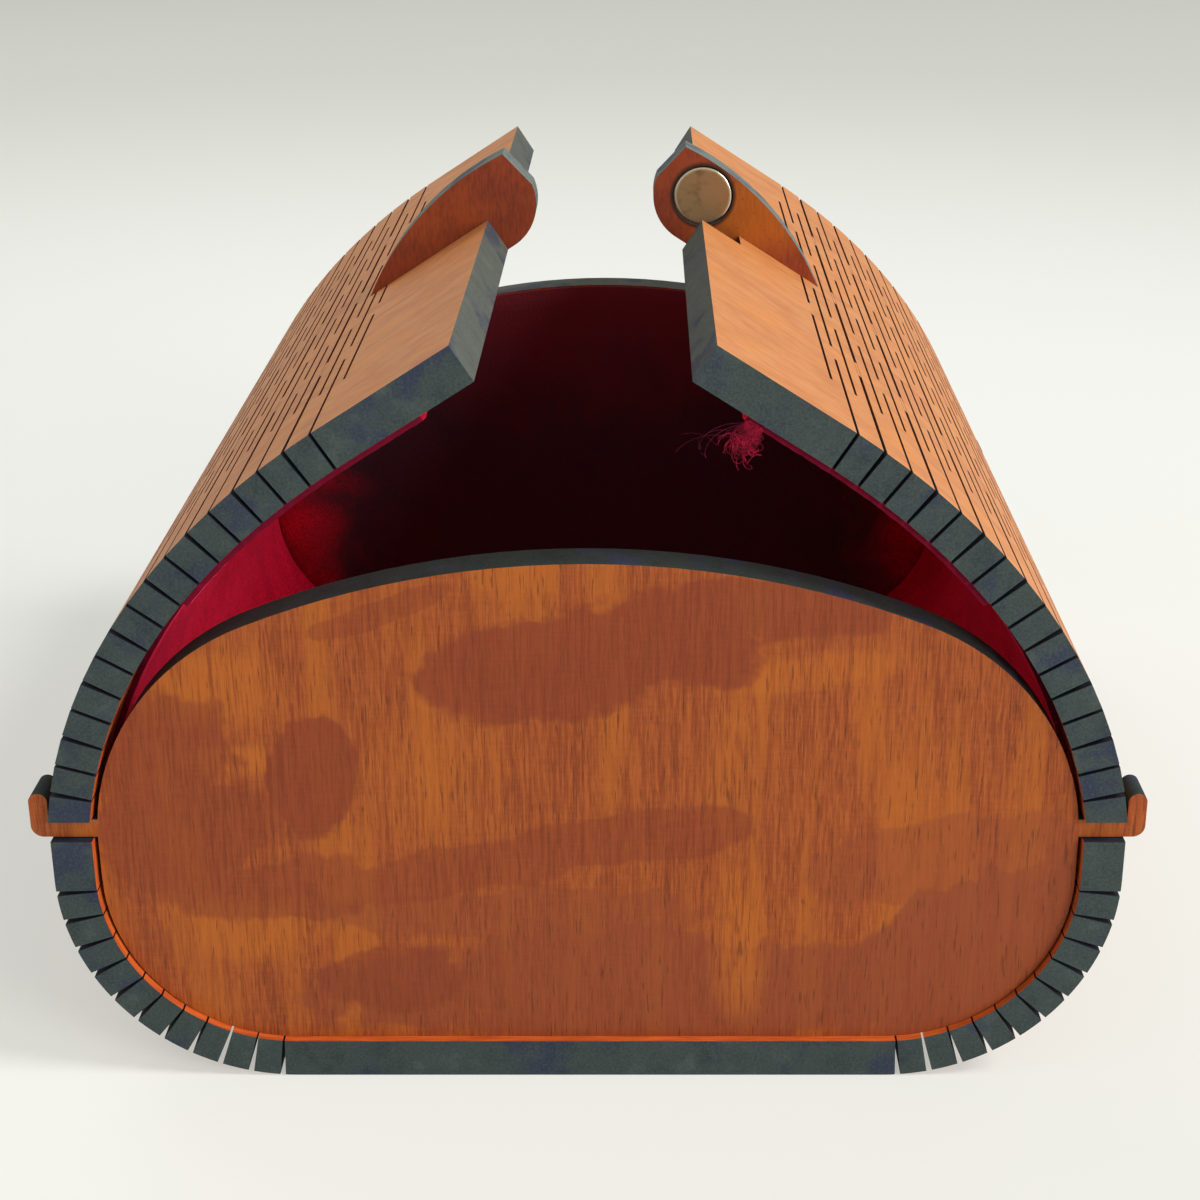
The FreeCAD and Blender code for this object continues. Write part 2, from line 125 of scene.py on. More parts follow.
# the nodes of a new material, or of the world
class Board:
    def __init__(self, name, owner=None):
        self.owner = owner or bpy.data.materials.new(name)
        self.owner.use_nodes = True
        self.tree = self.owner.node_tree
        self.tree.nodes.clear()

    # a node of this type: its settings first, then its sockets' values or links
    def add(self, kind, settings=None, sockets=None, result=0):
        node = self.tree.nodes.new("ShaderNode" + kind)
        for name, value in (settings or {}).items():
            if name == "stops":
                stops = node.color_ramp.elements
                while len(stops) < len(value):
                    stops.new(0.5)
                for stop, (place, colour) in zip(stops, value):
                    stop.position = place
                    stop.color = colour
            else:
                setattr(node, name, value)
        for name, value in (sockets or {}).items():
            socket = node.inputs[name]
            if isinstance(value, Level):
                self.tree.links.new(value.socket, socket)
            else:
                socket.default_value = value
        return Level(self, node.outputs[result]) if node.outputs else None

    def maths(self, operation, *values, clamp=False):
        settings = {"operation": operation, "use_clamp": clamp}
        return self.add("Math", settings, dict(enumerate(values)))

    def place(self):
        return self.add("TexCoord", result="Object")

    def normal(self):
        return self.add("TexCoord", result="Normal")

    def parts(self, vector):
        split = self.add("SeparateXYZ", None, {0: vector})
        node = split.socket.node
        return [Level(self, node.outputs[n]) for n in range(3)]

    # the distance from a line that runs along Y through this place, given in metres
    def around(self, centreX, centreZ):
        x, _, z = self.parts(self.place())
        acrossX = x - centreX
        acrossZ = z - centreZ
        return self.maths("SQRT", acrossX * acrossX + acrossZ * acrossZ)

    def length(self, vector):
        return self.add("VectorMath", {"operation": "LENGTH"}, {0: vector}, "Value")

    def dot(self, vector, direction):
        settings = {"operation": "DOT_PRODUCT"}
        return self.add("VectorMath", settings, {0: vector, 1: direction}, "Value")

    # object coordinates times so many features per millimetre along X, Y and Z
    def stretched(self, along, start=(0.0, 0.0, 0.0)):
        scale = tuple(value / mm for value in along)
        sockets = {"Vector": self.place(), "Location": start, "Scale": scale}
        return self.add("Mapping", {"vector_type": "POINT"}, sockets)

    def noise(self, along, detail=2.0, roughness=0.5, start=(0.0, 0.0, 0.0), distortion=0.0):
        sockets = {
            "Vector": self.stretched(along, start),
            "Scale": 1.0,
            "Detail": detail,
            "Roughness": roughness,
            "Distortion": distortion,
        }
        return self.add("TexNoise", {"noise_dimensions": "3D"}, sockets, "Fac")

    # 0 below low and 1 above high, with a soft step between
    def step(self, value, low, high):
        sockets = {"Value": value, "From Min": low, "From Max": high, "To Min": 0.0, "To Max": 1.0}
        return self.add("MapRange", {"interpolation_type": "SMOOTHSTEP"}, sockets)

    def blend(self, factor, first, second, kind="MIX"):
        settings = {"data_type": "RGBA", "blend_type": kind, "clamp_factor": True}
        return self.add("Mix", settings, {0: factor, 6: first, 7: second}, 2)

    # a soft-edged patch on the X-Z plane, its rim broken up by a wobble
    def patch(self, spot, wobble):
        settings = {"vector_type": "TEXTURE"}
        sockets = {
            "Vector": self.place(),
            "Location": (spot["x"] * mm, 0.0, spot["z"] * mm),
            "Rotation": (0.0, math.radians(spot.get("tilt", 0.0)), 0.0),
            "Scale": (spot["wide"] * mm, 1000.0, spot["high"] * mm),
        }
        local = self.add("Mapping", settings, sockets)
        soft = spot.get("soft", 0.1)
        inside = 1 - self.step(self.length(local) + wobble, 1 - soft, 1 + soft)
        return inside * spot.get("strength", 1.0)

    # 1 where the camera or a reflection looks at it, and 0 for the light that falls on the object
    def seen(self):
        node = self.add("LightPath").socket.node
        direct = Level(self, node.outputs["Is Camera Ray"])
        reflected = Level(self, node.outputs["Is Glossy Ray"])
        through = Level(self, node.outputs["Is Transmission Ray"])
        return self.maths("MAXIMUM", self.maths("MAXIMUM", direct, reflected), through)

    def bump(self, height, distance, strength):
        sockets = {"Strength": strength, "Distance": distance * mm, "Height": height}
        return self.add("Bump", None, sockets)

    def finish(self, colour, roughness, normal=None, **fixed):
        sockets = {"Base Color": colour, "Roughness": roughness}
        if normal:
            sockets["Normal"] = normal
        sockets.update({name.replace("_", " "): value for name, value in fixed.items()})
        surface = self.add("BsdfPrincipled", None, sockets)
        self.add("OutputMaterial", None, {"Surface": surface})
        return self.owner


def wear(piece, material):
    piece.data.materials.clear()
    piece.data.materials.append(material)


sharpAngle = 50.0  # smooth pieces keep an edge where faces turn by more degrees than this


# puts points and faces into a new object at the origin, merges what lies together, turns the faces outwards
def solidFrom(name, points, faces, smooth=True):
    mesh = bpy.data.meshes.new(name)
    mesh.from_pydata((np.asarray(points) * mm).tolist(), [], np.asarray(faces).tolist())
    work = bmesh.new()
    work.from_mesh(mesh)
    bmesh.ops.remove_doubles(work, verts=work.verts, dist=1e-7)
    bmesh.ops.recalc_face_normals(work, faces=work.faces)
    work.to_mesh(mesh)
    work.free()
    if smooth:
        mesh.shade_smooth()
        mesh.set_sharp_from_angle(angle=math.radians(sharpAngle))
    else:
        mesh.shade_flat()
    piece = bpy.data.objects.new(name, mesh)
    bpy.context.scene.collection.objects.link(piece)
    return piece


# quads between neighbours of a grid of points, joined round where a direction is closed
def gridFaces(rows, columns, roundRows=False, roundColumns=False, first=0):
    row = np.arange(rows if roundRows else rows - 1)[:, None]
    column = np.arange(columns if roundColumns else columns - 1)[None, :]
    nextRow = (row + 1) % rows
    nextColumn = (column + 1) % columns
    near = (row * columns + column, nextRow * columns + column)
    far = (nextRow * columns + nextColumn, row * columns + nextColumn)
    return first + np.stack([corner.ravel() for corner in np.broadcast_arrays(*near, *far)], axis=1)


# Caps for a sweep whose section goes out along one face and back along the other: quads between the two.
def capFaces(rows, columns):
    near = np.arange(columns // 2 - 1)
    cap = np.stack([near, near + 1, columns - 2 - near, columns - 1 - near], axis=1)
    return np.concatenate([cap, cap + (rows - 1) * columns])


# A closed strip of cloth. Its path gives points on the wood, the wood's outward direction and the distance
# along it. The pile face lies a pile's thickness inside the wood, a little more towards the rims, where it
# fluffs up, and less at their round edges. Two crossed sine waves ripple it, and the rims wander a little in
# and out, as cut cloth does.
def clothAlong(path, outward, distance, halfDepth):
    rows = len(path)
    across = np.linspace(-1, 1, cloth["across"])
    half = np.broadcast_to(np.asarray(halfDepth, float), rows)
    depth = half[:, None] * across[None, :]
    fromRim = half[:, None] - np.abs(depth)
    rounding = cloth["roundness"] * np.exp(-fromRim / cloth["rimWidth"])
    rounding = rounding - cloth["fluff"] * np.exp(-fromRim)
    step = np.asarray(distance)[:, None]
    ripple = cloth["ripple"] * (np.sin(depth * 0.9 + step) + np.sin(depth * 2.3 - 1.7 * step) * 0.6)
    pile = -(cloth["glue"] + cloth["pile"]) + rounding + ripple * (1 - np.exp(-fromRim))
    fray = cloth["fray"] * (np.sin(step * 2.1) + np.sin(step * 5.3))
    depth = depth + fray * across[None, :] ** 15
    faces = []
    back = np.full_like(pile, -cloth["glue"])
    for level, order in ((pile, slice(None)), (back, slice(None, None, -1))):
        x = path[:, 0, None] + outward[:, 0, None] * level
        z = path[:, 1, None] + outward[:, 1, None] * level
        faces.append(np.stack([x, depth, z], axis=-1)[:, order])
    grid = np.concatenate(faces, axis=1)
    columns = grid.shape[1]
    quads = np.concatenate([gridFaces(rows, columns, roundColumns=True), capFaces(rows, columns)])
    return grid.reshape(-1, 3), quads


# Each kerf's hinge point and the lean of the run after it, on the right lid half.
def lidChain():
    number = np.arange(lid["kerfs"])
    bends = lid["firstBend"] + (lid["lastBend"] - lid["firstBend"]) * number / (lid["kerfs"] - 1)
    lean = np.radians(lid["lean"] + np.cumsum(bends))
    start = math.radians(lid["lean"])
    x = box["innerHalf"] + lid["inset"] - lid["firstStep"] * math.sin(start)
    z = box["bendLine"] + lid["inset"] * math.tan(start / 2) + lid["firstStep"] * math.cos(start)
    steps = box["pitch"] * np.stack([-np.sin(lean), np.cos(lean)], axis=1)
    points = np.array([x, z]) + np.concatenate([np.zeros((1, 2)), np.cumsum(steps[:-1], axis=0)])
    return points, lean


kerfPoints, kerfLean = lidChain()


# Points on the hinge line at a distance along it from the first kerf, with the outward direction there. The
# lean turns evenly from the middle of one run to the middle of the next, so that cloth follows a curve.
def lidLine(distance):
    distance = np.asarray(distance, float)
    start = math.radians(lid["lean"])
    before = kerfPoints[0] - lid["firstStep"] * np.array([-math.sin(start), math.cos(start)])
    reach = box["plateLength"]
    after = kerfPoints[-1] + reach * np.array([-math.sin(kerfLean[-1]), math.cos(kerfLean[-1])])
    knots = np.concatenate([[-lid["firstStep"]], np.arange(lid["kerfs"]) * box["pitch"]])
    knots = np.append(knots, knots[-1] + reach)
    line = np.concatenate([[before], kerfPoints, [after]])
    x = np.interp(distance, knots, line[:, 0])
    z = np.interp(distance, knots, line[:, 1])
    middles = (np.arange(lid["kerfs"]) + 0.5) * box["pitch"]
    lean = np.interp(distance, np.append([-box["pitch"] / 2], middles), np.append([start], kerfLean))
    return np.stack([x, z], axis=-1), np.stack([np.cos(lean), np.sin(lean)], axis=-1)


# bakes a piece's place into its points; the hinge line's ends a little before and after the joint are worked
# out, but nothing is bent
def bendOver(piece, joint, reach):
    middle = (2 * joint - 2) * box["pitch"]
    ends, _ = lidLine([middle - reach, middle + reach])
    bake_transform(piece)


sheetWood = {
    "outerLight": paint(204, 136, 82),
    "outerDark": paint(187, 115, 65),
    "outerGold": paint(210, 129, 60),
    "outerRed": paint(180, 103, 65),
    # the inner veneer: its wood colour, with a deeper orange of painted bounce light
    "innerBounceLight": paint(214, 100, 40),
    "innerBounceDark": paint(176, 74, 28),
    "poreShade": paint(146, 80, 42),
    "kerfWall": paint(84, 34, 22),
    "wallEnd": paint(34, 34, 46),
    "char": paint(60, 71, 70),
    "charPale": paint(84, 96, 92),
    "charDark": paint(40, 48, 52),
    "charBlue": paint(44, 50, 78),
    "plateChar": paint(86, 90, 84),
    "platePale": paint(108, 112, 104),
    "plateDark": paint(64, 70, 68),
}


# the burnt edge of laser-cut plywood: grey-green soot in spots, blue-black here and there
def burntEdge(board, plain, pale, dark):
    spots = board.noise((0.55, 0.55, 0.55), 4.0, 0.6)
    speckle = board.noise((5.0, 5.0, 5.0), 2.0, 0.7)
    tint = board.noise((0.2, 0.2, 0.2), 3.0, 0.6, start=(8.0, 3.0, 5.0))
    colour = board.blend(board.step(spots, 0.52, 0.78) * 0.5, plain, pale)
    colour = board.blend(board.step(spots, 0.5, 0.28) * 0.5, colour, dark)
    colour = board.blend(board.step(tint, 0.52, 0.66) * 0.7, colour, sheetWood["charBlue"])
    colour = board.blend(board.step(speckle, 0.45, 0.75) * 0.4, colour, pale)
    return board.blend(board.step(speckle, 0.5, 0.3) * 0.4, colour, dark)


# Plywood of the wrap sheet. The grain runs round the box, so the veneer changes fast only along Y. Walls of
# the kerfs are scorched brown and the cut edges are sooty.
def sheetPlywood(name, outward=None, freeEdge=None):
    board = Board(name)
    normal = board.normal()
    sideways = abs(board.dot(normal, (0.0, 1.0, 0.0)))
    if outward:
        facing = board.dot(normal, (outward[0], 0.0, outward[1]))
    else:
        x, _, z = board.parts(board.place())
        flat = box["flatHalf"] * mm
        acrossX = x - board.maths("MAXIMUM", board.maths("MINIMUM", x, flat), -flat)
        acrossZ = board.maths("MINIMUM", z - box["outerCorner"] * mm, 0.0)
        normalX, _, normalZ = board.parts(normal)
        length = board.maths("SQRT", acrossX * acrossX + acrossZ * acrossZ)
        facing = (normalX * acrossX + normalZ * acrossZ) / (length + 1e-6)

    broad = board.noise((0.12, 0.3, 0.12), 3.0, 0.6)
    clouds = board.noise((0.3, 0.5, 0.3), 4.0, 0.65, start=(4.0, 1.0, 6.0), distortion=0.4)
    streaks = board.noise((0.3, 4.0, 0.3), 3.0, 0.6, start=(3.0, 5.0, 1.0))
    pores = board.noise((0.9, 9.0, 0.9), 2.0, 0.5, start=(9.0, 2.0, 4.0))
    shade = streaks * 0.45 + clouds * 0.55
    outer = board.blend(board.step(shade, 0.36, 0.62), sheetWood["outerDark"], sheetWood["outerLight"])
    outer = board.blend(board.step(broad, 0.48, 0.66) * 0.5, outer, sheetWood["outerGold"])
    outer = board.blend(board.step(broad, 0.46, 0.32) * 0.4, outer, sheetWood["outerRed"])
    outer = board.blend(board.step(pores, 0.64, 0.76) * 0.3, outer, sheetWood["poreShade"])
    # inner veneer grain, in colours that carry painted orange bounce light
    inner = board.blend(board.step(streaks, 0.3, 0.7), sheetWood["innerBounceDark"], sheetWood["innerBounceLight"])
    veneer = board.blend(board.step(facing, -0.1, 0.1), inner, outer)

    edge = burntEdge(board, sheetWood["char"], sheetWood["charPale"], sheetWood["charDark"])
    wall = sheetWood["kerfWall"]
    _, depth, _ = board.parts(board.place())
    wall = board.blend(board.step(abs(depth), 36.6 * mm, 37.6 * mm), wall, sheetWood["wallEnd"])
    if freeEdge:
        along, reach = freeEdge
        beyond = board.dot(board.place(), (along[0], 0.0, along[1]))
        soot = burntEdge(board, sheetWood["plateChar"], sheetWood["platePale"], sheetWood["plateDark"])
        wall = board.blend(board.step(beyond, (reach - 0.6) * mm, (reach - 0.3) * mm), wall, soot)
    cut = board.blend(board.step(sideways, 0.75, 0.8), wall, edge)
    faceShare = board.step(abs(facing), 0.78, 0.84)
    colour = board.blend(faceShare, cut, veneer)
    height = streaks * 0.6 + board.noise((2.5, 2.5, 2.5), 3.0, 0.7) * (1 - faceShare)
    roughness = 0.82 - faceShare * (0.24 + 0.12 * streaks)
    return board.finish(colour, roughness, board.bump(height, 0.05, 0.5), Specular_IOR_Level=0.25)


def dressSheet():
    wear(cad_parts["base_shell"], sheetPlywood("base_plywood"))
    for side, sign in sides.items():
        for link in range(1, lid["joints"]):
            lean = (kerfLean[2 * link - 2] + kerfLean[2 * link - 1]) / 2
            outward = (sign * math.cos(lean), math.sin(lean))
            material = sheetPlywood(f"{side}_link_plywood_{link}", outward)
            wear(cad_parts[f"{side}_link_{link}"], material)
        lean = kerfLean[-1]
        along = (-sign * math.sin(lean), math.cos(lean))
        hinge = kerfPoints[-1]
        reach = float(-math.sin(lean) * hinge[0] + math.cos(lean) * hinge[1]) + box["plateLength"]
        outward = (sign * math.cos(lean), math.sin(lean))
        material = sheetPlywood(f"{side}_plate_plywood", outward, (along, reach))
        wear(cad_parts[f"{side}_end_plate"], material)


dressSheet()
print("wrap sheet finished")

# The end panels: mahogany-stained veneer with fine upright grain. The patches are where the stain took deeper
# or stayed golden on the front panel, in millimetres on the object.
panelWood = {
    "mid": paint(168, 84, 35),
    "light": paint(184, 99, 43),
    "gold": paint(188, 103, 32),
    "dark": paint(138, 63, 27),
    "red": paint(150, 76, 46),
    "deep": paint(142, 64, 34),
    "deepStreak": paint(128, 54, 27),
    "pore": paint(104, 48, 20),
    "char": paint(40, 49, 47),
    "charPale": paint(60, 70, 66),
    "charDark": paint(26, 32, 34),
    "rearChar": paint(84, 90, 84),
    "rearPale": paint(104, 108, 100),
    "rearDark": paint(62, 70, 68),
    "deepPatches": [
        {"x": -5.0, "z": 33.5, "wide": 6.6, "high": 4.4, "tilt": -12.0},
        {"x": 3.6, "z": 35.3, "wide": 8.4, "high": 4.5, "tilt": -8.0},
        {"x": 13.5, "z": 38.0, "wide": 8.6, "high": 2.2, "tilt": 6.0, "strength": 0.9},
        {"x": -19.6, "z": 24.9, "wide": 2.9, "high": 4.8, "tilt": 8.0},
        {"x": -13.9, "z": 38.0, "wide": 5.6, "high": 0.9, "tilt": -20.0, "strength": 0.6},
        {"x": -31.5, "z": 27.5, "wide": 6.0, "high": 4.2, "tilt": 0.0, "strength": 0.75},
        {"x": -29.4, "z": 20.0, "wide": 7.5, "high": 4.4, "tilt": 0.0, "strength": 0.8},
        {"x": 3.5, "z": 20.0, "wide": 8.5, "high": 1.9, "tilt": -7.0, "strength": 0.75},
        {"x": -10.5, "z": 17.0, "wide": 9.5, "high": 2.0, "tilt": -9.0, "strength": 0.7},
        {"x": -22.5, "z": 16.0, "wide": 8.0, "high": 2.6, "tilt": -4.0, "strength": 0.7},
        {"x": -14.1, "z": 8.0, "wide": 5.6, "high": 2.7, "tilt": 0.0, "strength": 0.75},
        {"x": -32.0, "z": 16.9, "wide": 3.4, "high": 2.4, "tilt": 0.0, "strength": 0.4},
    ],
    "redPatches": [
        {"x": 27.0, "z": 9.0, "wide": 11.5, "high": 6.5, "tilt": -30.0, "strength": 0.8},
        {"x": 6.0, "z": 7.0, "wide": 26.0, "high": 5.0, "tilt": 0.0, "strength": 0.7},
        {"x": 26.0, "z": 18.0, "wide": 9.0, "high": 3.5, "tilt": -10.0, "strength": 0.45},
        {"x": -4.0, "z": 13.5, "wide": 13.0, "high": 2.2, "tilt": 0.0, "strength": 0.5},
    ],
    "goldPatches": [
        {"x": -25.5, "z": 26.3, "wide": 3.6, "high": 1.0, "soft": 0.5},
        {"x": -26.2, "z": 32.0, "wide": 4.6, "high": 2.6, "soft": 0.5},
        {"x": -24.8, "z": 12.2, "wide": 4.4, "high": 2.6, "soft": 0.5},
        {"x": 11.2, "z": 11.8, "wide": 1.8, "high": 5.6, "soft": 0.5},
        {"x": -5.5, "z": 40.4, "wide": 3.4, "high": 1.4, "soft": 0.5, "strength": 0.7},
        {"x": 15.5, "z": 33.2, "wide": 7.0, "high": 1.2, "tilt": -10.0, "soft": 0.5, "strength": 0.8},
        {"x": -11.0, "z": 26.0, "wide": 5.0, "high": 5.0, "soft": 0.6, "strength": 0.6},
        {"x": 10.5, "z": 25.5, "wide": 1.6, "high": 6.0, "soft": 0.6, "strength": 0.7},
    ],
}


# all the patches of a kind as one mask
def patchwork(board, spots, wobble):
    mask = 0.0
    for spot in spots:
        mask = board.maths("MAXIMUM", mask, board.patch(spot, wobble))
    return mask


def panelVeneer(board, patched):
    wood = panelWood
    broad = board.noise((0.3, 0.3, 0.03), 3.0, 0.55)
    streaks = board.noise((4.6, 4.6, 0.2), 3.0, 0.65, start=(2.0, 0.0, 3.0))
    fine = board.noise((10.0, 10.0, 0.7), 2.0, 0.6, start=(5.0, 0.0, 2.0))
    figure = board.noise((0.5, 0.5, 4.5), 2.0, 0.5, start=(3.0, 0.0, 9.0))
    pores = board.noise((7.0, 7.0, 0.5), 2.0, 0.5, start=(7.0, 0.0, 8.0))
    shade = streaks * 0.6 + fine * 0.25 + figure * 0.15
    colour = board.blend(board.step(shade, 0.38, 0.6), wood["dark"], wood["mid"])
    colour = board.blend(board.step(fine, 0.5, 0.72) * 0.5, colour, wood["light"])
    colour = board.blend(board.step(broad, 0.48, 0.64) * 0.55, colour, wood["gold"])
    poreMask = board.step(pores, 0.6, 0.72)
    if not patched:
        return board.blend(poreMask * 0.7, colour, wood["pore"]), streaks, poreMask
    wobble = (board.noise((0.16, 0.16, 0.16), 4.0, 0.6, start=(1.0, 0.0, 7.0)) - 0.5) * 1.7
    red = patchwork(board, wood["redPatches"], wobble)
    colour = board.blend(red, colour, board.blend(shade, wood["deepStreak"], wood["red"]))
    gold = patchwork(board, wood["goldPatches"], wobble)
    colour = board.blend(gold * board.step(streaks, 0.25, 0.6) * 0.75, colour, wood["gold"])
    colour = board.blend(poreMask * 0.7, colour, wood["pore"])
    deep = patchwork(board, wood["deepPatches"], wobble)
    stain = board.blend(board.step(shade, 0.36, 0.62), wood["deepStreak"], wood["deep"])
    return board.blend(deep * 0.85, colour, stain), streaks, poreMask


def panelPlywood(name, patched, soot):
    board = Board(name)
    sideways = abs(board.dot(board.normal(), (0.0, 1.0, 0.0)))
    face = board.step(sideways, 0.75, 0.8)
    veneer, streaks, pores = panelVeneer(board, patched)
    edge = burntEdge(board, *[panelWood[shade] for shade in soot])
    colour = board.blend(face, edge, veneer)
    height = face * (streaks * 0.5 - pores * 0.5)
    roughness = 0.85 - face * (0.25 + 0.1 * streaks)
    return board.finish(colour, roughness, board.bump(height, 0.05, 0.5), Specular_IOR_Level=0.25)


frontSoot = ("char", "charPale", "charDark")
rearSoot = ("rearChar", "rearPale", "rearDark")
wear(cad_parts["front_panel"], panelPlywood("front_panel_plywood", True, frontSoot))
wear(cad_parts["rear_panel"], panelPlywood("rear_panel_plywood", False, rearSoot))
print("end panels finished")

# The clasp fins: dark orange-brown faces, a scorched ring round the magnet's seat, sooty rims.
finWood = {
    "bright": paint(174, 92, 12),
    "mid": paint(144, 60, 26),
    "deep": paint(116, 44, 24),
    "char": paint(104, 114, 110),
    "charPale": paint(130, 136, 130),
    "charDark": paint(74, 84, 82),
    "scorch": paint(36, 16, 12),
    "glow": {"right": 0.95, "left": 0.1},
    "seatRadius": 2.56,
    "scorchWidth": 0.42,
}


def finPlywood(name, side):
    board = Board(name)
    low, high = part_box(f"{side}_magnet")
    centre = (low + high) / 2
    sideways = abs(board.dot(board.normal(), (0.0, 1.0, 0.0)))
    face = board.step(sideways, 0.75, 0.8)
    cloud = board.noise((0.22, 0.22, 0.22), 3.0, 0.6, start=(4.0, 0.0, 1.0))
    streaks = board.noise((3.6, 3.6, 0.9), 3.0, 0.6)
    grain = board.step(streaks * 0.5 + cloud * 0.5, 0.34, 0.6)
    colour = board.blend(grain, finWood["deep"], finWood["mid"])
    spot = {
        "x": centre.x / mm + sides[side] * 4.5,
        "z": centre.z / mm - 1.5,
        "wide": 5.0,
        "high": 3.2,
        "soft": 0.5,
    }
    glow = board.patch(spot, cloud - 0.5) * finWood["glow"][side]
    colour = board.blend(glow * (0.6 + 0.4 * streaks), colour, finWood["bright"])
    specks = board.noise((2.6, 2.6, 2.6), 2.0, 0.6, start=(1.0, 2.0, 3.0))
    colour = board.blend(board.step(specks, 0.6, 0.72) * 0.5, colour, finWood["deep"])
    far = board.around(centre.x, centre.z)
    reach = (finWood["seatRadius"] + finWood["scorchWidth"] * (cloud + 0.5)) * mm
    seat = finWood["seatRadius"] * mm
    ring = 1 - board.step(far, seat + 0.05 * mm, reach)
    seatFloor = board.step(far, seat - 0.02 * mm, seat - 0.06 * mm)
    seatSide = board.step(board.dot(board.normal(), (0.0, -float(sides[side]), 0.0)), -0.5, 0.0)
    scorched = board.maths("MAXIMUM", ring, seatFloor) * seatSide * 0.9
    colour = board.blend(scorched, colour, finWood["scorch"])
    edge = burntEdge(board, finWood["char"], finWood["charPale"], finWood["charDark"])
    colour = board.blend(face, edge, colour)
    roughness = 0.85 - face * 0.35
    return board.finish(colour, roughness, board.bump(streaks * face, 0.05, 0.5), Specular_IOR_Level=0.3)


for side in sides:
    wear(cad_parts[f"{side}_clasp_fin"], finPlywood(f"{side}_fin_plywood", side))
print("clasp fins finished")

# The magnets: nickel discs with a rounded rim, tarnished in the middle.
magnet = {
    "rim": 0.22,
    "dish": 0.03,
    "round": 96,
    "bright": paint(214, 202, 176),
    "dull": paint(146, 106, 64),
    "stain": paint(100, 78, 46),
}


# a disc turned about the Y axis: its profile runs out over the front, round the rim and back
def makeMagnet(side):
    low, high = [np.array(corner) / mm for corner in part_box(f"{side}_magnet")]
    centre = (low + high) / 2
    radius = (high[0] - low[0]) / 2
    half = (high[1] - low[1]) / 2
    rim = magnet["rim"]
    turn = np.linspace(0, math.pi / 2, 8)
    flat = np.linspace(0, radius - rim, 8)
    front = np.stack([flat, -half + magnet["dish"] * (1 - (flat / flat[-1]) ** 4)], axis=1)
    corner = np.stack([radius - rim + rim * np.sin(turn), -half + rim - rim * np.cos(turn)], axis=1)
    profile = np.concatenate([front, corner[1:]])
    profile = np.concatenate([profile, profile[::-1] * (1, -1)])
    angle = np.arange(magnet["round"]) * 2 * math.pi / magnet["round"]
    x = centre[0] + profile[:, 0, None] * np.cos(angle)
    z = centre[2] + profile[:, 0, None] * np.sin(angle)
    y = np.broadcast_to(centre[1] + profile[:, 1, None], x.shape)
    points = np.stack([x, y, z], axis=-1).reshape(-1, 3)
    quads = gridFaces(len(profile), len(angle), roundColumns=True)
    piece = solidFrom(f"{side}_nickel_disc", points, quads)
    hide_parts(f"{side}_magnet")
    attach(piece, f"{side}_plate")
    board = Board(f"{side}_nickel")
    cloud = board.noise((0.5, 0.5, 0.5), 4.0, 0.6)
    scratches = board.noise((0.6, 8.0, 9.0), 2.0, 0.6)
    far = board.around(float(centre[0]) * mm, float(centre[2]) * mm)
    inside = 1 - board.step(far, (radius - 0.35) * mm, (radius - 0.1) * mm)
    colour = board.blend(inside * 0.85, magnet["bright"], magnet["dull"])
    colour = board.blend(inside * board.step(cloud, 0.5, 0.7) * 0.6, colour, magnet["stain"])
    roughness = 0.22 + inside * (0.2 + 0.2 * cloud)
    wear(piece, board.finish(colour, roughness, board.bump(scratches, 0.01, 0.4), Metallic=1.0))


for side in sides:
    makeMagnet(side)
print("magnets made")

# The bridges that cross the kerfs at the joints.
bridgeWood = {
    "sunk": 0.004,  # the bridges' faces lie this far inside the sheet's own
    "sections": 5,
}


# three small blocks of ply that fill a joint's kerf between its cuts, each a box section along the hinge line
def makeBridges(side, joint):
    middle = (2 * joint - 2) * box["pitch"]
    half = box["kerf"] / 2 + bridgeWood["sunk"]
    points, outward = lidLine(np.linspace(middle - half, middle + half, bridgeWood["sections"]))
    levels = (-lid["inset"] + bridgeWood["sunk"], box["ply"] - lid["inset"] - bridgeWood["sunk"])
    allPoints, allFaces = [], []
    for number, row in enumerate(box["bridgeRows"]):
        halfWide = box["bridge"] / 2 + bridgeWood["sunk"]
        low, high = levels
        ring = [(-halfWide, low), (-halfWide, high), (halfWide, high), (halfWide, low)]
        columns = []
        for depth, level in ring:
            x = points[:, 0] + outward[:, 0] * level
            z = points[:, 1] + outward[:, 1] * level
            columns.append(np.stack([x, np.full_like(x, row + depth), z], axis=1))
        grid = np.stack(columns, axis=1)
        rows = len(grid)
        first = number * rows * 4
        allPoints.append(grid.reshape(-1, 3))
        ends = np.array([[0, 1, 2, 3], [0, 1, 2, 3]]) + np.array([[0], [(rows - 1) * 4]])
        allFaces += [gridFaces(rows, 4, roundColumns=True, first=first), ends + first]
    corners = np.concatenate(allPoints) * (sides[side], sides[side], 1)
    piece = solidFrom(f"{side}_bridges_{joint}", corners, np.concatenate(allFaces), smooth=False)
    link = min(joint, lid["joints"] - 1)
    wear(piece, bpy.data.materials[f"{side}_link_plywood_{link}"])
    bendOver(piece, joint, box["kerf"] / 2)


for side in sides:
    for joint in range(1, lid["joints"] + 1):
        makeBridges(side, joint)
print("bridges made")

# The linings, in millimetres. Lengths along a lid are taken from its first kerf.
cloth = {
    "glue": 0.05,
    "pile": 0.5,
    "roundness": 0.3,
    "rimWidth": 0.18,
    "fluff": 0.2,
    "ripple": 0.012,
    "fray": 0.05,
    "across": 73,  # points over the depth
    "cabinHalf": 36.5,  # half the depth of the lid strips between the end panels
    "baseHalf": 36.72,
    "fullHalf": 40.7,  # the same of the strips above them
    "wideFrom": 17.6,
    "widening": 0.12,
    "lidEnd": 39.9,
    "rows": 14,
    "lastRows": 30,
    "bendReach": 0.7,
    "panelMargin": 0.15,
}


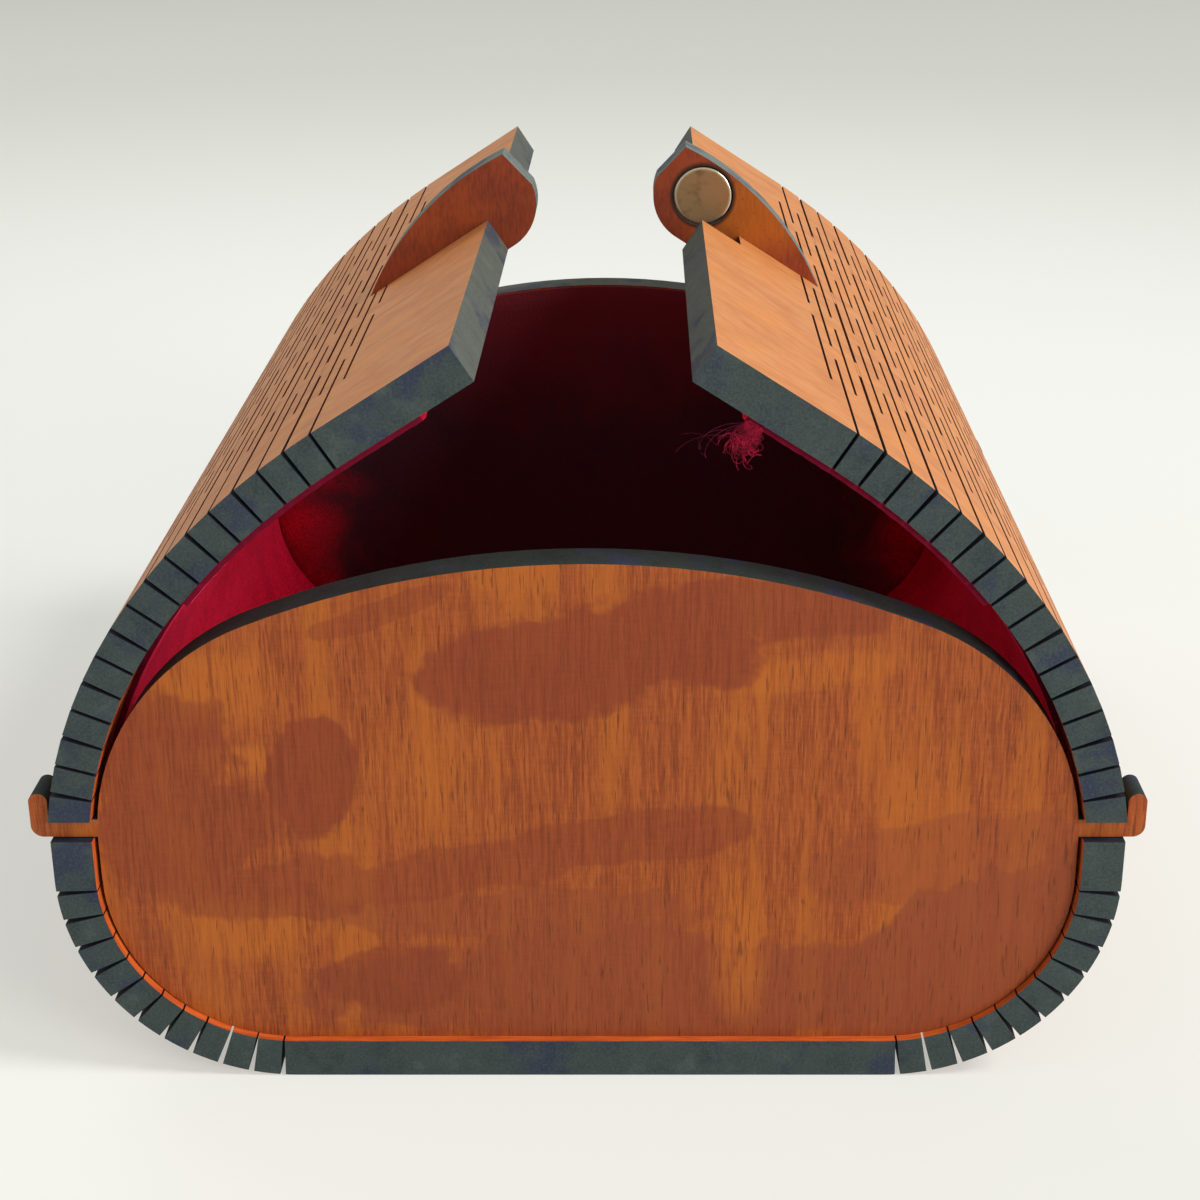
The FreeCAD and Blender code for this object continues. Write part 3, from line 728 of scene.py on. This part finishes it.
velvet = {
    "bright": paint(250, 22, 64),
    "mid": paint(222, 18, 56),
    "dark": paint(132, 14, 42),
    "backing": paint(110, 13, 40),
    # painted shade for the rear lining: a greyer dark red higher up, near-black lower down
    "rearUpperShade": paint(114, 50, 58),
    "rearShade": paint(54, 56, 66),
    "sheen": (1.0, 0.05, 0.14, 1.0),
}


# Velvet: the pile is brushed lighter and darker in clouds, with a fine speckle of fibres and a red sheen. Its
# cut edges show the darker weave. At the rear, painted shade darkens the lining over its middle, and more
# towards the bottom.
def velvetFinish(name, cutEdges=True, shadedRear=False):
    board = Board(name)
    clouds = board.noise((0.16, 0.16, 0.16), 4.0, 0.6, start=(1.0, 6.0, 2.0), distortion=0.8)
    fibres = board.noise((3.4, 3.4, 3.4), 4.0, 0.75)
    colour = board.blend(board.step(clouds, 0.38, 0.62), velvet["mid"], velvet["bright"])
    colour = board.blend(board.step(fibres, 0.56, 0.34) * 0.75, colour, velvet["dark"])
    if cutEdges:
        sideways = abs(board.dot(board.normal(), (0.0, 1.0, 0.0)))
        colour = board.blend(board.step(sideways, 0.5, 0.8), colour, velvet["backing"])
    if shadedRear:
        across, _, height = board.parts(board.place())
        # painted shade: darker towards the bottom, in the greyer rear colours
        low = board.step(height + (clouds - 0.5) * 8 * mm, 41 * mm, 24 * mm)
        pile = board.blend(low, velvet["rearUpperShade"], velvet["rearShade"])
        # painted shade over the middle of the rear lining, fading out towards its sides
        middleShade = board.step(abs(across) + (clouds - 0.5) * 10 * mm, 38 * mm, 25 * mm) * 0.95
        colour = board.blend(middleShade, colour, pile)
    normal = board.bump(fibres, 0.12, 0.8)
    sheen = {
        "Sheen_Weight": 0.25 if shadedRear else 1.0,
        "Sheen_Roughness": 0.4,
        "Sheen_Tint": velvet["sheen"],
    }
    return board.finish(colour, 0.92, normal, Specular_IOR_Level=0.08, **sheen)


redVelvet = velvetFinish("crimson_velvet")


# cloth over a joint of a lid half, from the middle of the link below it to the middle of the link above it
def makeLidCloth(side, joint):
    start = max((2 * joint - 3) * box["pitch"], -lid["firstStep"] + 0.05)
    end = (2 * joint - 1) * box["pitch"] if joint < lid["joints"] else cloth["lidEnd"]
    distance = np.linspace(start, end, cloth["rows" if joint < lid["joints"] else "lastRows"])
    if start < cloth["wideFrom"] < end:
        widening = cloth["wideFrom"] + cloth["widening"] * np.array([-1, 1])
        distance = np.sort(np.concatenate([distance, widening]))
    points, outward = lidLine(distance)
    points = points - outward * lid["inset"]
    wide = distance > cloth["wideFrom"]
    half = np.where(wide, cloth["fullHalf"], cloth["cabinHalf"])
    corners, quads = clothAlong(points, outward, distance, half)
    piece = solidFrom(f"{side}_velvet_{joint}", corners * (sides[side], sides[side], 1), quads)
    node = f"{side}_link_lining_{joint}" if joint < lid["joints"] else f"{side}_plate_lining"
    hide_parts(node)
    wear(piece, redVelvet)
    bendOver(piece, joint, cloth["bendReach"])
    return piece, end - start


for side in sides:
    for joint in range(1, lid["joints"] + 1):
        piece, length = makeLidCloth(side, joint)
    flat = (2 * cloth["fullHalf"] * mm, length * mm)
print("lid linings made")


# The inside of the walls, the rounded corners and the bottom: a line down, a quarter circle and half the
# bottom, then the same mirrored. Gives points on the wood and the direction into the wood.
def insideWalls():
    wall = np.linspace(box["bendLine"], box["outerCorner"], 4)[:-1]
    turn = np.linspace(0, math.pi / 2, 25)
    floor = np.linspace(box["flatHalf"], 0, 12)[1:]

    def run(x, z, intoX, intoZ):
        return np.stack(np.broadcast_arrays(x, z, intoX, intoZ), axis=1)

    cornerX = box["flatHalf"] + box["innerCorner"] * np.cos(turn)
    cornerZ = box["outerCorner"] - box["innerCorner"] * np.sin(turn)
    half = np.concatenate(
        [
            run(box["innerHalf"], wall, 1.0, 0.0),
            run(cornerX, cornerZ, np.cos(turn), -np.sin(turn)),
            run(floor, box["ply"], 0.0, -1.0),
        ]
    )
    whole = np.concatenate([half, half[-2::-1] * (-1, 1, -1, 1)])
    return whole[:, :2], whole[:, 2:]


def makeBaseCloth():
    points, outward = insideWalls()
    lengths = np.linalg.norm(np.diff(points, axis=0), axis=1)
    distance = np.concatenate([[0], np.cumsum(lengths)])
    corners, quads = clothAlong(points, outward, distance, cloth["baseHalf"])
    piece = solidFrom("base_velvet", corners, quads)
    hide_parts("base_lining")
    wear(piece, redVelvet)
    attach(piece, "base")


makeBaseCloth()

# The outline of the end panels' inner faces, in millimetres.
panel = {
    "half": 35.7,
    "top": 41.5,
    "cornerRound": 13.606,
    "crown": 64.0,
    "shoulder": 18.5,
    "outerFace": 40.35,
    "edgePoints": 240,
    "rings": 16,
}


# An end panel's outline, drawn in by a margin: arcs about their centres joined by straight runs, with points
# taken evenly along it, from the middle of the bottom and round by the right.
def panelEdge(margin):
    centreX = panel["half"] - panel["cornerRound"]
    centreZ = box["ply"] + panel["cornerRound"]
    crownZ = panel["top"] - panel["crown"]
    shoulderX = panel["half"] - panel["shoulder"]
    shoulderZ = crownZ + math.sqrt((panel["crown"] - panel["shoulder"]) ** 2 - shoulderX**2)
    meet = math.atan2(shoulderZ - crownZ, shoulderX)

    def arc(x, z, radius, start, end, count=40):
        turn = np.linspace(start, end, count)
        reach = radius - margin
        return np.stack([x + reach * np.cos(turn), z + reach * np.sin(turn)], axis=1)

    half = np.concatenate(
        [
            [[0.0, box["ply"] + margin]],
            arc(centreX, centreZ, panel["cornerRound"], -math.pi / 2, 0),
            arc(shoulderX, shoulderZ, panel["shoulder"], 0, meet),
            arc(0, crownZ, panel["crown"], meet, math.pi / 2),
        ]
    )
    line = np.concatenate([half, half[-2::-1] * (-1, 1)])
    length = np.concatenate([[0], np.cumsum(np.linalg.norm(np.diff(line, axis=0), axis=1))])
    even = np.linspace(0, length[-1], panel["edgePoints"], endpoint=False)
    return np.stack([np.interp(even, length, line[:, 0]), np.interp(even, length, line[:, 1])], axis=1)


# Cloth on the inside of an end panel: rings shrink from the outline to the middle on the pile face, whose rim
# is rounded, and again on the back.
def makePanelCloth(name, side, finish):
    edge = panelEdge(cloth["panelMargin"])
    middle = edge.mean(axis=0)
    share = np.concatenate([np.linspace(0, 1, panel["rings"]) ** 0.7, [1.0]])
    back = -side * (panel["outerFace"] - box["ply"] - cloth["glue"])
    x = middle[0] + share[:, None] * (edge[:, 0] - middle[0])
    z = middle[1] + share[:, None] * (edge[:, 1] - middle[1])
    ripple = cloth["ripple"] * (np.sin(x * 0.9 + z * 0.4) + 0.6 * np.sin(z * 1.7 - x * 0.3))
    thick = cloth["pile"] - cloth["roundness"] * share[:, None] ** 60
    thick = thick + ripple * (1 - share[:, None] ** 8)
    thick[-1] = 0
    front = np.stack([x, back + side * thick, z], axis=-1)
    rear = np.stack([x[-2::-1], np.full_like(x[:-1], back), z[-2::-1]], axis=-1)
    grid = np.concatenate([front, rear])
    rows, columns = grid.shape[:2]
    piece = solidFrom(f"{name}_velvet", grid.reshape(-1, 3), gridFaces(rows, columns, roundColumns=True))
    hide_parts(f"{name}_lining")
    wear(piece, finish)
    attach(piece, "base")


makePanelCloth("front", 1, velvetFinish("front_crimson_velvet", cutEdges=False))
makePanelCloth("rear", -1, velvetFinish("rear_crimson_velvet", cutEdges=False, shadedRear=True))
print("base linings made")

# The frayed end of the right lining, at the near corner by the plate's free edge.
threads = {
    "sides": 4,  # each end is closed by one face of this many corners
    "sections": 40,
    "seed": 11,
    "spread": (0.55, 0.06, 0.15),
    "tuft": {
        "count": 80,
        "radius": 0.03,
        "start": (39.1, -40.72, -1.1),  # along the lid, along the depth, from the hinge line
        "reach": (0.9, 2.7),
        "inward": 1.0,
        "lean": ((-0.4, 0, -0.4), (0.4, 0, 0.4)),
        "curl": (0.3, 0.55),
        "turns": (1.4, 3.2),
        "colours": (paint(112, 10, 36), paint(170, 20, 58)),
    },
    "loose": {
        "count": 5,
        "radius": 0.022,
        "start": (39.3, -40.72, -1.1),
        "reach": (2.6, 5.2),
        "inward": 0.5,
        "lean": ((-1.0, 0, -0.2), (-0.4, 0, 0.2)),
        "curl": (0.6, 1.0),
        "turns": (0.7, 1.2),
        "colours": (paint(70, 12, 34), paint(104, 20, 48)),
    },
}


# A thread leaves the cloth, falls inwards and curls: a straight drift plus circles that widen from nothing,
# with a tube of small sections round it.
def threadTube(start, drift, curl, turns, phase, frameX, frameY, radius):
    t = np.linspace(0, 1, threads["sections"])[:, None]
    angle = 2 * math.pi * turns * t + phase
    swing = curl * np.sqrt(t) * (np.cos(angle) * frameX + np.sin(angle) * frameY)
    swing = swing - curl * np.sqrt(t) * (math.cos(phase) * frameX + math.sin(phase) * frameY) * (1 - t)
    line = start + drift * t**0.9 + swing
    along = np.gradient(line, axis=0)
    along /= np.linalg.norm(along, axis=1, keepdims=True)
    side = np.cross(along, (0.31, 0.87, 0.38))
    side /= np.linalg.norm(side, axis=1, keepdims=True)
    up = np.cross(along, side)
    spin = np.arange(threads["sides"]) * 2 * math.pi / threads["sides"]
    thin = radius * (1 - 0.4 * t[:, :, None])
    ring = np.cos(spin)[None, :, None] * side[:, None, :] + np.sin(spin)[None, :, None] * up[:, None, :]
    return line[:, None, :] + thin * ring


def makeThreads(name, kind, chance):
    allPoints, allFaces = [], []
    ring = threads["sides"]
    rows = threads["sections"]
    for number in range(kind["count"]):
        spread = chance.uniform(-1, 1, 3) * threads["spread"]
        along, depth, level = np.array(kind["start"]) + spread
        point, outward = lidLine(along)
        start = np.array([point[0] + outward[0] * level, depth, point[1] + outward[1] * level])
        inward = -np.array([outward[0], 0, outward[1]])
        lean = chance.uniform(*kind["lean"])
        drift = chance.uniform(*kind["reach"]) * (inward * kind["inward"] + lean)
        curl = chance.uniform(*kind["curl"])
        turns = chance.uniform(*kind["turns"])
        frameX = np.array([1.0, chance.uniform(-0.25, 0.25), 0.0])
        frameY = np.array([0.0, chance.uniform(-0.25, 0.25), 1.0])
        phase = chance.uniform(0, 2 * math.pi)
        tube = threadTube(start, drift, curl, turns, phase, frameX, frameY, kind["radius"])
        first = number * rows * ring
        allPoints.append(tube.reshape(-1, 3))
        allFaces.append(gridFaces(rows, ring, roundColumns=True, first=first))
        allFaces.append(np.arange(ring)[None, :] + first + np.array([[0], [(rows - 1) * ring]]))
    piece = solidFrom(name, np.concatenate(allPoints), np.concatenate(allFaces))
    board = Board(f"{name}_yarn")
    shade = board.noise((1.2, 1.2, 1.2), 2.0, 0.5)
    colour = board.blend(board.step(shade, 0.35, 0.65), *kind["colours"])
    fibre = board.noise((9.0, 9.0, 9.0), 2.0, 0.6)
    normal = board.bump(fibre, 0.02, 0.5)
    wear(piece, board.finish(colour, 0.75 + 0.2 * fibre, normal, Specular_IOR_Level=0.2))
    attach(piece, "right_plate")


yarnChance = np.random.default_rng(threads["seed"])
makeThreads("right_frayed_tuft", threads["tuft"], yarnChance)
makeThreads("right_loose_threads", threads["loose"], yarnChance)
print("frayed threads made")

# The floor, the room's light and the lamps.
stage = {
    "floor": paint(228, 229, 225),
    "shownNear": paint(252, 253, 247),
    # painted shade for the far floor
    "shownFarShade": paint(184, 186, 172),
    "shownShare": 0.45,  # how much of the floor's own look the camera sees in place of its lit one
    "farShade": (0.12, 0.48),  # painted shade of the room far off: the floor the camera sees darkens between these distances from the box, in metres
    "size": 8.0,
    "drop": 0.05,
    "sky": (0.97, 0.98, 0.95, 1.0),
    "skyStrength": 0.42,
    "shownSky": paint(206, 208, 197),
    "lamps": [
        # name, place in millimetres, what it points at, width in millimetres, watts, colour
        ("window_lamp", (838.0, -240.0, 942.0), (-10.0, 0.0, 30.0), 336.0, 9.9, (1.0, 0.985, 0.96)),
        ("front_lamp", (380.0, -380.0, 200.0), (-15.0, 0.0, 35.0), 200.0, 1.25, (1.0, 0.98, 0.96)),
        ("back_lamp", (-300.0, 330.0, 520.0), (0.0, 0.0, 25.0), 420.0, 1.0, (0.94, 0.97, 1.0)),
    ],
}


def makeStage():
    size = stage["size"]
    mesh = bpy.data.meshes.new("floor")
    level = -stage["drop"] * mm
    corners = [(-size, -size, level), (size, -size, level), (size, size, level), (-size, size, level)]
    mesh.from_pydata(corners, [], [(0, 1, 2, 3)])
    floor = bpy.data.objects.new("floor", mesh)
    bpy.context.scene.collection.objects.link(floor)
    board = Board("pale_paper")
    # painted shade: the floor the camera sees darkens away from the box
    farShade = board.step(board.length(board.place()), *stage["farShade"])
    shown = board.blend(farShade, stage["shownNear"], stage["shownFarShade"])
    paper = board.add("BsdfDiffuse", None, {"Color": stage["floor"], "Roughness": 0.5})
    glow = board.add("Emission", None, {"Color": shown, "Strength": 1.0})
    share = board.seen() * stage["shownShare"]
    mixed = board.add("MixShader", None, {0: share, 1: paper, 2: glow})
    board.add("OutputMaterial", None, {"Surface": mixed})
    wear(floor, board.owner)

    sky = Board("soft_room", bpy.data.worlds.new("soft_room"))
    bpy.context.scene.world = sky.owner
    lit = sky.add("Background", None, {"Color": stage["sky"], "Strength": stage["skyStrength"]})
    shown = sky.add("Background", None, {"Color": stage["shownSky"], "Strength": 1.0})
    mixed = sky.add("MixShader", None, {0: sky.seen(), 1: lit, 2: shown})
    sky.add("OutputWorld", None, {"Surface": mixed})

    for name, place, aim, width, watts, colour in stage["lamps"]:
        lamp = bpy.data.lights.new(name, "AREA")
        lamp.size = width * mm
        lamp.energy = watts
        lamp.color = colour
        holder = bpy.data.objects.new(name, lamp)
        bpy.context.scene.collection.objects.link(holder)
        holder.location = [value * mm for value in place]
        towards = np.array(aim) - np.array(place)
        pitch = math.atan2(math.hypot(towards[0], towards[1]), -towards[2])
        holder.rotation_euler = (pitch, 0.0, math.atan2(towards[0], -towards[1]) + math.pi)


# The photo's view: the camera looks down a little, with a small shift.
view = {
    "lens": 62.37,
    "sensor": 36.0,
    "place": (3.92, -173.9, 95.5),
    "pitch": 69.75,
    "shiftX": -0.035,
    "shiftY": -0.0833,
    "clipStart": 0.005,
    "clipEnd": 50.0,
}


def makeCamera():
    camera = bpy.data.cameras.new("photo_view")
    camera.sensor_width = view["sensor"]
    camera.lens = view["lens"]
    camera.shift_x = view["shiftX"]
    camera.shift_y = view["shiftY"]
    camera.clip_start = view["clipStart"]
    camera.clip_end = view["clipEnd"]
    holder = bpy.data.objects.new("photo_view", camera)
    bpy.context.scene.collection.objects.link(holder)
    holder.location = [value * mm for value in view["place"]]
    holder.rotation_euler = (math.radians(view["pitch"]), 0.0, 0.0)
    bpy.context.scene.camera = holder


makeStage()
makeCamera()
bpy.context.scene.view_settings.view_transform = "Standard"
print("stage, lamps and camera ready")
